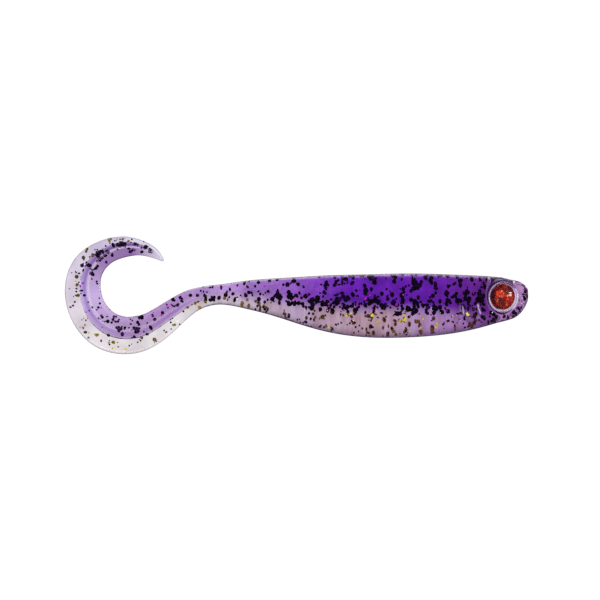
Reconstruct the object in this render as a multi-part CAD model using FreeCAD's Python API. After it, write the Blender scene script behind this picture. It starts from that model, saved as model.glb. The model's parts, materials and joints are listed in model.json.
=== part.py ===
import FreeCAD, Part
import math
import os
import random

# Curly-tail soft plastic bait, 100 mm long.
# X runs along the body with the nose at +X, Z points out of the back, Y points across the body.
# The origin is the centre of the small flat seat on the nose. All sizes are in millimetres.
#
# The bait is two shots of soft PVC that meet along one boundary: a violet back shot and a clear
# belly shot. The back edge runs on as the inner edge of the curled tail and the belly edge as the
# outer edge. Both shots bend, so they are divided at nine hinge places into ten links, and the
# hinges stand for the continuous flex of the plastic. Glued eyes and loose glitter complete it.

# ---- driving dimensions -------------------------------------------------------------------

# Body sections, square to X: x, back z, belly z, half width, share of the height that is violet.
BODY_SECTIONS = [
    (0.0, 1.4, -1.4, 1.5, 0.92),
    (-0.5, 2.0, -2.5, 2.1, 0.92),
    (-1.3, 2.6, -3.7, 2.8, 0.92),
    (-2.9, 3.05, -4.85, 3.4, 0.90),
    (-5.5, 3.6, -5.65, 3.9, 0.86),
    (-10.0, 4.0, -6.9, 4.4, 0.76),
    (-17.0, 4.3, -8.3, 4.8, 0.62),
    (-26.0, 4.5, -9.05, 5.0, 0.55),
    (-35.0, 4.3, -9.0, 4.8, 0.54),
    (-43.0, 4.1, -7.9, 4.3, 0.54),
    (-50.0, 3.7, -5.95, 3.4, 0.55),
    (-56.0, 3.35, -4.05, 2.6, 0.58),
    (-61.0, 2.9, -2.8, 2.1, 0.60),
    (-66.0, 2.2, -1.95, 1.8, 0.61),
]

# Wrist sections, slanted: back x, back z, belly x, belly z, half width, violet share.
WRIST_SECTIONS = [
    (-69.8, 1.75, -68.8, -2.3, 1.6, 0.61),
    (-73.2, 1.0, -71.4, -3.5, 1.45, 0.60),
    (-76.7, -0.65, -74.3, -5.95, 1.35, 0.58),
]

# Tail sections, radial from the curl's centre: angle from +X, inner and outer radius, half
# thickness, violet share. The tail runs from the wrist under, round and over the centre.
CURL_CENTRE_X = -86.5
CURL_CENTRE_Z = 1.1
CURL_SECTIONS = [
    (-42.0, 6.8, 13.6, 1.25, 0.57),
    (-65.0, 6.1, 13.6, 1.2, 0.56),
    (-90.0, 5.8, 13.9, 1.15, 0.56),
    (-120.0, 5.6, 14.0, 1.1, 0.56),
    (-150.0, 5.45, 13.6, 1.05, 0.56),
    (-180.0, 5.6, 13.4, 1.0, 0.56),
    (-210.0, 6.2, 13.1, 0.95, 0.58),
    (-240.0, 6.65, 12.1, 0.85, 0.64),
    (-270.0, 7.1, 11.5, 0.75, 0.70),
    (-292.0, 8.0, 11.15, 0.65, 0.70),
    (-310.0, 8.9, 10.85, 0.55, 0.66),
    (-319.0, 9.6, 10.4, 0.35, 0.60),
]

# Section shape: how boxy the body is, and how much thicker the tail's inner edge is than its blade.
BODY_ROUNDNESS = 2.35
TAIL_ROUNDNESS = 2.0
TAIL_BEAD = 0.5
SECTION_POINTS = 16

# Hinge places: body hinges by x, tail hinges by angle. A sideways hinge turns about the line
# that crosses the strip in its plane, an in-plane hinge turns about Y.
# Link that the hinge carries, kind, place, least and greatest angle in degrees.
HINGES = [
    ("rear_body", "body sideways", -44.0, -23.0, 23.0),
    ("wrist", "body sideways", -63.0, -30.0, 30.0),
    ("tail_root", "tail in plane", -43.0, -6.0, 22.0),
    ("tail_low", "tail sideways", -74.0, -18.0, 18.0),
    ("tail_bend", "tail in plane", -108.0, -6.0, 22.0),
    ("tail_side", "tail sideways", -146.0, -18.0, 18.0),
    ("tail_rise", "tail in plane", -186.0, -6.0, 22.0),
    ("tail_top", "tail in plane", -236.0, -6.0, 22.0),
    ("tail_tip", "tail sideways", -278.0, -18.0, 18.0),
]
LINK_GAP = 0.16
HINGE_REACH = 7.5
FRONT_LINK = "head"
INSIDE_TOLERANCE = 1e-4

# Eyes: a foil disc and a clear dome in a socket on each side of the head, turned a little towards
# the nose. The socket's rim stands proud at the rear, where the head is widest.
EYE_X = -5.75
EYE_Z = -0.4
EYE_SEAT_Y = 3.2
EYE_YAW = 15.0
EYE_PITCH = -5.0
FOIL_RADIUS = 2.8
FOIL_THICKNESS = 0.2
DOME_HEIGHT = 0.95
SOCKET_RADIUS = 2.88
SOCKET_REACH = 4.0
RIM_RADIUS = 3.42
RIM_HEIGHT = 0.45
RIM_ROOT_DEPTH = 1.6
RIM_FLARE = 0.35

# Glitter: thin hexagonal flakes. Name, diameters, number per link, lowest and highest place
# across the height, 0 at the belly or outer edge and 1 at the back or inner edge.
GLITTER = [
    ("black_glitter", (0.5, 1.1), 12, 0.30, 0.85),
    ("violet_glitter", (0.4, 0.9), 6, 0.35, 0.85),
    ("gold_glitter", (0.4, 1.0), 8, 0.15, 0.50),
]
FLAKE_CORNERS = 6
FLAKE_THICKNESS = 0.08
FLAKE_SPREAD = 0.45
FLAKE_TILT = 0.4
FLAKE_LINK_MARGIN = 0.2
FLAKE_TIP_SECTIONS = 2.0
FLAKE_SEED = 11

# The slab that divides the shots: half its width, how far it runs on past the nose and the tail
# tip, and its far corners, all clear of the bait.
SLAB_HALF_WIDTH = 8.0
SLAB_PAST_NOSE = 4.0
SLAB_PAST_TIP = 2.0
SLAB_TOP_Z = 14.0
SLAB_WRIST_X = -68.0
SLAB_TIP_ANGLE = -345.0
SLAB_TIP_RADIUS = 13.0

OUT = "parts"
AXIS_Y = FreeCAD.Vector(0, 1, 0)


# ---- the strip: back edge, belly edge and thickness from nose to tail tip -------------------

def point(x, z):
    """A point in the bait's plane of symmetry."""
    return FreeCAD.Vector(x, 0, z)


def curl_point(angle, radius):
    """A point of the tail, by its angle and distance from the curl's centre."""
    turn = math.radians(angle)
    return point(CURL_CENTRE_X + radius * math.cos(turn), CURL_CENTRE_Z + radius * math.sin(turn))


def strip_sections():
    """Every section, nose to tail tip: back point, belly point, half width, roundness, bead, share."""
    sections = []
    for x, back, belly, half_width, share in BODY_SECTIONS:
        sections.append((point(x, back), point(x, belly), half_width, BODY_ROUNDNESS, 0.0, share))
    for number, (bx, bz, ex, ez, half_width, share) in enumerate(WRIST_SECTIONS, 1):
        bead = TAIL_BEAD * number / (len(WRIST_SECTIONS) + 1)
        sections.append((point(bx, bz), point(ex, ez), half_width, TAIL_ROUNDNESS, bead, share))
    for angle, inner, outer, half_width, share in CURL_SECTIONS:
        back = curl_point(angle, inner)
        belly = curl_point(angle, outer)
        sections.append((back, belly, half_width, TAIL_ROUNDNESS, TAIL_BEAD, share))
    return sections


def section_wire(back, belly, half_width, roundness, bead):
    """The closed outline of one section: a rounded oval, thicker on its back side by the bead."""
    middle = (back + belly) * 0.5
    rise = (back - belly) * 0.5
    outline = []
    for number in range(SECTION_POINTS):
        turn = 2 * math.pi * number / SECTION_POINTS
        up = math.copysign(abs(math.cos(turn)) ** (2 / roundness), math.cos(turn))
        across = math.copysign(abs(math.sin(turn)) ** (2 / roundness), math.sin(turn))
        width = half_width * across * (1 + bead * up) / (1 + bead)
        outline.append(middle + rise * up + AXIS_Y * width)
    curve = Part.BSplineCurve()
    curve.interpolate(outline, PeriodicFlag=True)
    return Part.Wire([curve.toShape()])


def bait_solid(sections):
    """Both shots together, lofted through the sections."""
    wires = [section_wire(*section[:5]) for section in sections]
    return Part.makeLoft(wires, True)


def back_region(sections):
    """A slab that holds everything on the violet side of the boundary between the two shots."""
    seam = [back + (belly - back) * share for back, belly, *_, share in sections]
    first = seam[0] + point(SLAB_PAST_NOSE, 0)
    last = seam[-1] + (seam[-1] - seam[-2]).normalize() * SLAB_PAST_TIP
    curve = Part.BSplineCurve()
    curve.interpolate(seam)
    beyond_tip = curl_point(SLAB_TIP_ANGLE, SLAB_TIP_RADIUS)
    above_wrist = point(SLAB_WRIST_X, SLAB_TOP_Z)
    above_nose = point(SLAB_PAST_NOSE, SLAB_TOP_Z)
    edges = [
        Part.makeLine(first, seam[0]),
        curve.toShape(),
        Part.makePolygon([seam[-1], last, beyond_tip, above_wrist, above_nose, first]),
    ]
    face = Part.Face(Part.Wire(sum([shape.Edges for shape in edges], [])))
    face.translate(AXIS_Y * -SLAB_HALF_WIDTH)
    return face.extrude(AXIS_Y * 2 * SLAB_HALF_WIDTH)


# ---- hinges ----------------------------------------------------------------------------------

def between(rows, place, column):
    """A column's value at a place, by straight interpolation over rows ordered by their first value."""
    for low, high in zip(rows, rows[1:]):
        if high[0] <= place <= low[0]:
            share = (place - low[0]) / (high[0] - low[0])
            return low[column] + share * (high[column] - low[column])
    raise ValueError(place)


def hinge_frame(kind, place):
    """The hinge's pivot, the direction towards the tail and the direction across to the belly side."""
    if kind.startswith("body"):
        back = between(BODY_SECTIONS, place, 1)
        belly = between(BODY_SECTIONS, place, 2)
        return point(place, (back + belly) / 2), point(-1, 0), point(0, -1)
    inner = between(CURL_SECTIONS, place, 1)
    outer = between(CURL_SECTIONS, place, 2)
    out = curl_point(place, 1) - curl_point(place, 0)
    return curl_point(place, (inner + outer) / 2), point(out.z, -out.x), out


def gap_outline(direction, side, reach, near_angle, far_angle):
    """The four-sided halves of a hinge gap: narrow at the pivot, opening to each side for the turn."""
    slot = LINK_GAP / 2
    near = slot + reach * math.tan(math.radians(near_angle / 2))
    far = slot + reach * math.tan(math.radians(far_angle / 2))
    return [
        direction * near - side * reach,
        direction * slot,
        direction * far + side * reach,
        direction * -far + side * reach,
        direction * -slot,
        direction * -near - side * reach,
    ]


def hinge_gap(kind, place, least, greatest):
    """The space that a hinge needs between two links, as a solid to cut away."""
    pivot, along, out = hinge_frame(kind, place)
    if kind.endswith("sideways"):
        corners = gap_outline(along, AXIS_Y, HINGE_REACH, -least, greatest)
        depth = out
    else:
        corners = gap_outline(along, out, HINGE_REACH, -least, greatest)
        depth = AXIS_Y
    corners = [pivot + corner - depth * HINGE_REACH for corner in corners]
    face = Part.Face(Part.makePolygon(corners + corners[:1]))
    return face.extrude(depth * 2 * HINGE_REACH)


def split_links(solid):
    """The solid's links by name, cut apart at the hinges."""
    gaps = [hinge_gap(kind, place, least, greatest) for _, kind, place, least, greatest in HINGES]
    loose = solid.cut(gaps).Solids
    names = [FRONT_LINK] + [hinge[0] for hinge in HINGES]
    middles = link_middles()
    links = {}
    for name, middle in zip(names, middles):
        links[name] = next(s for s in loose if s.isInside(middle, INSIDE_TOLERANCE, False))
    return links


def link_middles():
    """A point well inside each link, nose to tail tip."""
    body_places = [0.0] + [h[2] for h in HINGES if h[1].startswith("body")]
    tail_places = [h[2] for h in HINGES if h[1].startswith("tail")] + [CURL_SECTIONS[-1][0]]
    middles = [hinge_frame("body", (a + b) / 2)[0] for a, b in zip(body_places, body_places[1:])]
    middles.append(point(WRIST_SECTIONS[0][0], (WRIST_SECTIONS[0][1] + WRIST_SECTIONS[0][3]) / 2))
    middles += [hinge_frame("tail", (a + b) / 2)[0] for a, b in zip(tail_places, tail_places[1:])]
    return middles


# ---- eyes ------------------------------------------------------------------------------------

def eye_frame(side):
    """The middle of an eye's seat and the direction it faces; side is -1 or 1 across the body."""
    yaw = math.radians(EYE_YAW)
    pitch = math.radians(EYE_PITCH)
    across = side * math.cos(yaw) * math.cos(pitch)
    facing = FreeCAD.Vector(math.sin(yaw) * math.cos(pitch), across, math.sin(pitch))
    return FreeCAD.Vector(EYE_X, side * EYE_SEAT_Y, EYE_Z), facing


def eye_rim(side):
    """The raised ring of plastic round an eye, rooted in the head."""
    seat, facing = eye_frame(side)
    root = seat - facing * RIM_ROOT_DEPTH
    return Part.makeCone(RIM_RADIUS + RIM_FLARE, RIM_RADIUS, RIM_ROOT_DEPTH + RIM_HEIGHT, root, facing)


def eye_socket(side):
    """The round pocket that an eye is glued into."""
    seat, facing = eye_frame(side)
    return Part.makeCylinder(SOCKET_RADIUS, SOCKET_REACH, seat, facing)


def eye_foil(side):
    """The patterned foil disc at the bottom of the pocket."""
    seat, facing = eye_frame(side)
    return Part.makeCylinder(FOIL_RADIUS, FOIL_THICKNESS, seat, facing)


def eye_dome(side):
    """The clear lens over the foil: a cap of a ball."""
    seat, facing = eye_frame(side)
    base = seat + facing * FOIL_THICKNESS
    ball_radius = (FOIL_RADIUS ** 2 + DOME_HEIGHT ** 2) / (2 * DOME_HEIGHT)
    ball = Part.makeSphere(ball_radius, base + facing * (DOME_HEIGHT - ball_radius))
    return ball.common(Part.makeCylinder(FOIL_RADIUS, 2 * DOME_HEIGHT, base, facing))


# ---- glitter ---------------------------------------------------------------------------------

def flake(centre, facing, diameter):
    """One thin hexagonal flake."""
    start = centre - facing * (FLAKE_THICKNESS / 2)
    corners = Part.makeCircle(diameter / 2, start, facing).discretize(Number=FLAKE_CORNERS + 1)
    hexagon = Part.makePolygon(corners[:-1] + corners[:1])
    return Part.Face(hexagon).extrude(facing * FLAKE_THICKNESS)


def link_span(sections, number):
    """Where a link starts and ends, counted in sections from the nose."""
    stops = [0.0] + [section_place(kind, place) for _, kind, place, *_ in HINGES]
    stops.append(len(sections) - FLAKE_TIP_SECTIONS)
    return stops[number], stops[number + 1]


def section_place(kind, place):
    """A hinge's place, counted in sections from the nose."""
    rows, before = BODY_SECTIONS, 0
    if kind.startswith("tail"):
        rows, before = CURL_SECTIONS, len(BODY_SECTIONS) + len(WRIST_SECTIONS)
    for number, (low, high) in enumerate(zip(rows, rows[1:])):
        if high[0] <= place <= low[0]:
            return before + number + (place - low[0]) / (high[0] - low[0])
    raise ValueError(place)


def glitter_flakes(sections, span, diameters, count, low, high, chance, taken):
    """A group of flakes spread through one link's plastic, clear of the link's other flakes."""
    start, end = span
    margin = FLAKE_LINK_MARGIN * (end - start)
    flakes = []
    while len(flakes) < count:
        place = chance.uniform(start + margin, end - margin)
        before = sections[int(place)]
        after = sections[int(place) + 1]
        share = place - int(place)
        back, belly, half_width = [before[i] * (1 - share) + after[i] * share for i in range(3)]
        height = chance.uniform(low, high)
        room = half_width * math.sqrt(1 - (2 * height - 1) ** 2) * FLAKE_SPREAD
        centre = belly + (back - belly) * height + AXIS_Y * chance.uniform(-room, room)
        diameter = min(chance.uniform(*diameters), half_width)
        lean = chance.uniform(-FLAKE_TILT, FLAKE_TILT)
        nod = chance.uniform(-FLAKE_TILT, FLAKE_TILT)
        facing = FreeCAD.Vector(lean, 1, nod).normalize()
        if all((centre - other).Length > (diameter + wide) / 2 for other, wide in taken):
            taken.append((centre, diameter))
            flakes.append(flake(centre, facing, diameter))
    return Part.makeCompound(flakes)


# ---- the whole bait --------------------------------------------------------------------------

def build():
    """Every piece of the bait, by node name."""
    sections = strip_sections()
    body = bait_solid(sections)
    for side in (-1, 1):
        body = body.fuse(eye_rim(side)).cut(eye_socket(side))
    links = split_links(body)
    violet_side = back_region(sections)
    chance = random.Random(FLAKE_SEED)
    pieces = {}
    for number, (name, link) in enumerate(links.items()):
        pieces["back_shot_" + name] = link.common(violet_side)
        pieces["belly_shot_" + name] = link.cut(violet_side)
        span = link_span(sections, number)
        taken = []
        for glitter, diameters, count, low, high in GLITTER:
            group = glitter_flakes(sections, span, diameters, count, low, high, chance, taken)
            pieces[glitter + "_" + name] = group
    for side, word in ((-1, "right"), (1, "left")):
        pieces[word + "_eye_foil"] = eye_foil(side)
        pieces[word + "_eye_dome"] = eye_dome(side)
    return pieces


def main():
    os.makedirs(OUT, exist_ok=True)
    for name, shape in build().items():
        shape.exportStep(os.path.join(OUT, name + ".step"))
        print(f"{name:28s} {len(shape.Solids):3d} solids {shape.Volume:9.3f} mm3 valid {shape.isValid()}")


main()
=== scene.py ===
import json
import math
import random

import bpy
import numpy as np
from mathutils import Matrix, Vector
from mathutils import noise as lumps

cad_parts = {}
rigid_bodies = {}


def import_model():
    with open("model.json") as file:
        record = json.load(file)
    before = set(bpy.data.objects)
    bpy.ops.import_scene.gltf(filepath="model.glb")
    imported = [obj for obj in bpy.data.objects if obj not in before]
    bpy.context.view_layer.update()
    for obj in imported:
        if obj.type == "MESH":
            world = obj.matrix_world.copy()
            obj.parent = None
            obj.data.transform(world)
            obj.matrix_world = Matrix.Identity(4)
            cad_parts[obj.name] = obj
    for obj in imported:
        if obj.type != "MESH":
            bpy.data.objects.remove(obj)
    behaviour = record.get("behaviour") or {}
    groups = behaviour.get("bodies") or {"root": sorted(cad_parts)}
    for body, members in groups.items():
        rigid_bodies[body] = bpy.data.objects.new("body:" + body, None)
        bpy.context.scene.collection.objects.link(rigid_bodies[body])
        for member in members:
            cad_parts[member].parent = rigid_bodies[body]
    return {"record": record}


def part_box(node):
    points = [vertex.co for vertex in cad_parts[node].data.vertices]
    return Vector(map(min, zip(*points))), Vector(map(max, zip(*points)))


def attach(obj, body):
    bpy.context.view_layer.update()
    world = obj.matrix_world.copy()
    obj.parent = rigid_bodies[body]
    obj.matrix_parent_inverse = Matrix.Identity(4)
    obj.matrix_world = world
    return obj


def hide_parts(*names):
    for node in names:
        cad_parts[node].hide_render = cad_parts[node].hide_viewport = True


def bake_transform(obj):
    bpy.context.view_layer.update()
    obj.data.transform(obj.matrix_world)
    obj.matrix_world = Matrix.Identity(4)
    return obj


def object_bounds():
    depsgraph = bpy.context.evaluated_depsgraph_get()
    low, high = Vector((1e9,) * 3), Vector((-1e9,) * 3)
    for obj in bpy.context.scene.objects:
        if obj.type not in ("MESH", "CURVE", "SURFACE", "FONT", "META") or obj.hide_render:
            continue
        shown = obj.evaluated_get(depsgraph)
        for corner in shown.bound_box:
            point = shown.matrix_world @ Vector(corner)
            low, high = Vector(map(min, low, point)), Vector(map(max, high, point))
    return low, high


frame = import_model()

# Curly-tail soft bait: one wet translucent skin of violet and clear soft plastic, made in spans
# that each hold one hinge, with loose glitter inside it and glued holographic eyes.
# Shapes are in millimetres in the frame's axes and are scaled to the CAD box on the way out.

CAD_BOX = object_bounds()
LOW, HIGH = (np.array(corner, float) for corner in CAD_BOX)
NOMINAL_LENGTH = 99.9
UNIT = (HIGH[0] - LOW[0]) / NOMINAL_LENGTH
NOSE_X = HIGH[0]
EYE_LOW, EYE_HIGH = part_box("right_eye_foil")
EYE_X = ((EYE_LOW[0] + EYE_HIGH[0]) / 2 - NOSE_X) / UNIT
EYE_Z = (EYE_LOW[2] + EYE_HIGH[2]) / 2 / UNIT
JOINTS = frame["record"]["behaviour"]["joints"]
SEED = 20

# ---- shape: the strip from nose to tail tip ----

# Body sections, square to X: x, back z, belly z, half width, violet share of the height.
BODY_SECTIONS = [
    (0.0, 1.4, -1.4, 1.5, 0.90),
    (-0.5, 2.0, -2.5, 2.1, 0.90),
    (-1.3, 2.6, -3.7, 2.8, 0.90),
    (-2.9, 3.05, -4.85, 3.4, 0.89),
    (-5.5, 3.6, -5.65, 3.9, 0.86),
    (-10.0, 4.0, -6.9, 4.4, 0.76),
    (-17.0, 4.3, -8.3, 4.8, 0.62),
    (-26.0, 4.5, -9.05, 5.0, 0.55),
    (-35.0, 4.3, -9.0, 4.8, 0.54),
    (-43.0, 4.1, -7.9, 4.3, 0.54),
    (-50.0, 3.7, -5.95, 3.4, 0.55),
    (-56.0, 3.35, -4.05, 2.6, 0.58),
    (-61.0, 2.9, -2.8, 2.1, 0.60),
    (-66.0, 2.2, -1.95, 1.8, 0.61),
]
# Wrist sections, slanted: back x, back z, belly x, belly z, half width, violet share, blade share.
WRIST_SECTIONS = [
    (-69.8, 1.75, -68.8, -2.3, 1.6, 0.61, 0.15),
    (-73.2, 1.0, -71.4, -3.5, 1.45, 0.60, 0.45),
    (-76.7, -0.65, -74.3, -5.95, 1.35, 0.58, 0.8),
]
# Tail sections, radial: angle, inner and outer radius, half thickness of the bead, violet share.
CURL_CENTRE = (-86.5, 1.1)
CURL_SECTIONS = [
    (-42.0, 6.8, 13.6, 1.25, 0.57),
    (-65.0, 6.1, 13.6, 1.2, 0.56),
    (-90.0, 5.8, 13.9, 1.15, 0.56),
    (-120.0, 5.6, 14.0, 1.1, 0.56),
    (-150.0, 5.45, 13.6, 1.05, 0.56),
    (-180.0, 5.6, 13.4, 1.0, 0.56),
    (-210.0, 6.2, 13.1, 0.95, 0.58),
    (-240.0, 6.65, 12.1, 0.85, 0.64),
    (-270.0, 7.1, 11.5, 0.75, 0.70),
    (-292.0, 8.0, 11.15, 0.65, 0.70),
    (-310.0, 8.9, 10.85, 0.55, 0.66),
    (-319.0, 9.6, 10.4, 0.35, 0.60),
]
BODY_ROUNDNESS = 2.35

# The tail across its width: the bead on the inner side, a rib along its outer side, the step down
# to the thin blade, and the blade's own rim; places are shares of the width, levels of the bead.
BEAD_LEVEL = 0.84
RIB_WIDTH = 0.11
STEP_WIDTH = 0.10
RIB_SOFTNESS = 0.03
GROOVE_DEPTH = 0.05
GROOVE_WIDTH = 0.018
GROOVE_BEFORE_RIB = 0.035
BLADE_LEVEL = 0.34
BLADE_RIM = 0.05
RIM_PLACE = 0.955
RIM_WIDTH = 0.02
BEAD_EDGE = 0.20
BLADE_EDGE = 0.045

# The parting line that stands up along the back and the belly: it starts behind the nose, and lies
# within the outer part of the height.
SEAM_HEIGHT = 0.15
SEAM_WIDTH = 0.13
SEAM_STARTS = 1.0
SEAM_IS_FULL = 4.0
SEAM_OUTSIDE = 0.7

# Marks moulded into both sides of the head: from x, z to x, z, width, height out of the surface.
HEAD_MARKS = [
    (-11.15, -2.1, -10.9, -3.1, 0.17, 0.16),
    (-10.9, -3.1, -10.55, -4.0, 0.15, 0.14),
    (-14.4, -2.4, -14.25, -3.9, 0.15, 0.14),
    (-13.8, -4.2, -12.3, -4.8, 0.24, -0.18),
    (-12.3, -4.8, -10.0, -6.0, 0.24, -0.18),
]

# Eyes: where they sit on the head, how they are turned, and their round parts.
EYE_YAW = math.radians(15.0)
EYE_PITCH = math.radians(-5.0)
EYE_RADIUS = 2.8
SOCKET_RADIUS = 2.88
DOME_HEIGHT = 0.95
FOIL_THICKNESS = 0.2
FOIL_CHAMFER = 0.03
FOIL_EDGE = 0.04
FOIL_DISH = 0.03
LENS_GAP = 0.02
LENS_SUNK = 0.05
LENS_EDGE = 0.06
LIP_RADIUS = 3.2
LIP_WIDTH = 0.26
LIP_HEIGHT = 0.10

# Small uneven lumps left in the plastic at the nose.
NOSE_LUMPS_END = 3.6
LUMP_HEIGHT = 0.5
LUMPS_PER_MM = 1.1

# The rings that close the ends: the nose seat's sizes and crown, the tip's rounding and length.
NOSE_SHARES = (0.35, 0.7, 0.9)
NOSE_CROWN = 0.02
TIP_ANGLES = (20, 40, 60, 78)
TIP_LENGTH = 0.45

# How closely the skin's rings lie: fine on the head and the tail, and in close pairs at the cuts.
RING_POINTS = 180
HEAD_END = 18.0
TAIL_START = 72.0
SPACING = 0.30
FINE_SPACING = 0.16
CUT_MARGIN = 0.03

# ---- where the skin's colours lie ----

# Millimetres of height over which violet turns clear.
SOFT_BODY = 4.4
SOFT_TAIL = 0.7

# How strongly the tail's rib is tinted, by place along the strip, and over what share of the width.
RIB_PLACES = [78.0, 88.0, 96.0, 101.0, 108.0, 116.0, 122.0, 127.0]
RIB_STRENGTHS = [0.35, 0.30, 0.45, 0.95, 1.0, 1.0, 0.9, 0.2]
RIB_TINT_WIDTH = 0.055

# Two painted highlight lines before the rib, as shares of the width, with their width in
# millimetres.
LINES_BEFORE_RIB = (0.075, 0.125)
LINE_WIDTH = 0.10
LINE_HIGHLIGHT = 0.8

# Painted highlights, sheen and shade: from where they start to where they are full, in millimetres
# from the edge.
MARK_HIGHLIGHT = 0.8
RIDGE_WIDTH = 0.35
RIDGE_HIGHLIGHT = 0.5
BACK_SHEEN_EDGE = (0.90, 0.40)
BACK_SHEEN = 0.90
INNER_EDGE = (0.30, 0.10)
INNER_SHADE = 0.35
OUTER_EDGE = (0.32, 0.10)
OUTER_SHADE = 0.6

# The painted highlight ring round an eye: its radius and width, where it starts above the seat, how
# bright it is, how much brighter towards one side, and that side.
HIGHLIGHT_RING_RADIUS = 3.16
HIGHLIGHT_RING_WIDTH = 0.20
HIGHLIGHT_RING_START = -0.3
HIGHLIGHT_RING = 0.55
HIGHLIGHT_RING_MORE = 0.30
HIGHLIGHT_RING_BRIGHT_SIDE = (-0.8, 0.0, -0.6)

# The foil's underside, below this height over the seat, shows its pale backing.
FOIL_BACK = 0.03


def natural_spline(knots, values):
    """A smooth curve through values at the knots, as a function of place."""
    knots = np.asarray(knots, float)
    values = np.asarray(values, float)
    count = len(knots)
    step = np.diff(knots)
    system = np.eye(count)
    right = np.zeros_like(values)
    for i in range(1, count - 1):
        system[i, i - 1:i + 2] = step[i - 1], 2 * (step[i - 1] + step[i]), step[i]
        rise = (values[i + 1] - values[i]) / step[i]
        right[i] = 6 * (rise - (values[i] - values[i - 1]) / step[i - 1])
    bend = np.linalg.solve(system, right)

    def at(place):
        place = np.atleast_1d(np.asarray(place, float))
        i = np.clip(np.searchsorted(knots, place) - 1, 0, count - 2)
        h = step[i][:, None]
        a = (knots[i + 1] - place)[:, None] / h
        b = 1 - a
        straight = a * values[i] + b * values[i + 1]
        return straight + ((a ** 3 - a) * bend[i] + (b ** 3 - b) * bend[i + 1]) * h * h / 6

    return at


def strip_curve():
    """The strip as a smooth function of place: back x, z, belly x, z, half width, share, blade."""
    rows = [(x, back, x, belly, wide, share, 0.0) for x, back, belly, wide, share in BODY_SECTIONS]
    rows += WRIST_SECTIONS
    for angle, inner, outer, wide, share in CURL_SECTIONS:
        turn = math.radians(angle)
        out = np.array([math.cos(turn), math.sin(turn)])
        back = np.array(CURL_CENTRE) + out * inner
        belly = np.array(CURL_CENTRE) + out * outer
        rows.append((*back, *belly, wide, share, 1.0))
    rows = np.array(rows, float)
    moved = np.diff(rows[:, :4], axis=0)
    legs = (np.hypot(moved[:, 0], moved[:, 1]) + np.hypot(moved[:, 2], moved[:, 3])) / 2
    knots = np.concatenate([[0.0], np.cumsum(legs)])
    return natural_spline(knots, rows), knots[-1]


STRIP, STRIP_END = strip_curve()


def strip_middles(places):
    """The middle of the strip's height at each place, as x and z."""
    rows = STRIP(places)
    return (rows[:, :2] + rows[:, 2:4]) / 2


def smooth_step(low, high, value):
    """0 at low, 1 at high, smooth between and level outside; high may be the lower of the two."""
    t = np.clip((value - low) / (high - low), 0, 1)
    return t * t * (3 - 2 * t)


def thickness_profile(u, share, blade):
    """Half thickness across the strip as a share of its largest, u from 0 at the back to 1."""
    body = (1 - np.abs(2 * u - 1) ** BODY_ROUNDNESS) ** (1 / BODY_ROUNDNESS)
    inner = np.sqrt(1 - (1 - np.clip(u / BEAD_EDGE, 0, 1)) ** 2)
    outer = np.sqrt(1 - (1 - np.clip((1 - u) / BLADE_EDGE, 0, 1)) ** 2)
    rib_start = share - STEP_WIDTH / 2 - RIB_WIDTH
    rib = smooth_step(rib_start - RIB_SOFTNESS, rib_start + RIB_SOFTNESS, u)
    groove = GROOVE_DEPTH * np.exp(-((u - rib_start + GROOVE_BEFORE_RIB) / GROOVE_WIDTH) ** 2)
    bead = BEAD_LEVEL + (1 - BEAD_LEVEL) * rib - groove
    step = smooth_step(share - STEP_WIDTH / 2, share + STEP_WIDTH / 2, u)
    rim = BLADE_RIM * np.exp(-((u - RIM_PLACE) / RIM_WIDTH) ** 2)
    level = (1 - step) * bead + step * (BLADE_LEVEL + rim)
    return (1 - blade) * body + blade * level * inner * outer


def head_marks(x, z):
    """How far marks and the eyes' lips lift the head's sides, with painted highlight on raised marks
    and painted shade on sunk ones.
    """
    lift = np.zeros(len(x))
    pale = np.zeros(len(x))
    painted_shade = np.zeros(len(x))
    for x1, z1, x2, z2, width, height in HEAD_MARKS:
        along = np.array([x2 - x1, z2 - z1])
        reach = np.clip(((x - x1) * along[0] + (z - z1) * along[1]) / (along @ along), 0, 1)
        away = np.hypot(x - x1 - reach * along[0], z - z1 - reach * along[1])
        mark = np.exp(-(away / width) ** 2)
        lift = np.where(np.abs(height * mark) > np.abs(lift), height * mark, lift)
        if height > 0:
            pale = np.maximum(pale, mark)
        else:
            painted_shade = np.maximum(painted_shade, mark)
    away = np.hypot((x - EYE_X) / math.cos(EYE_YAW), (z - EYE_Z) / math.cos(EYE_PITCH))
    lift += LIP_HEIGHT * np.exp(-((away - LIP_RADIUS) / LIP_WIDTH) ** 2)
    return lift, pale, painted_shade


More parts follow.
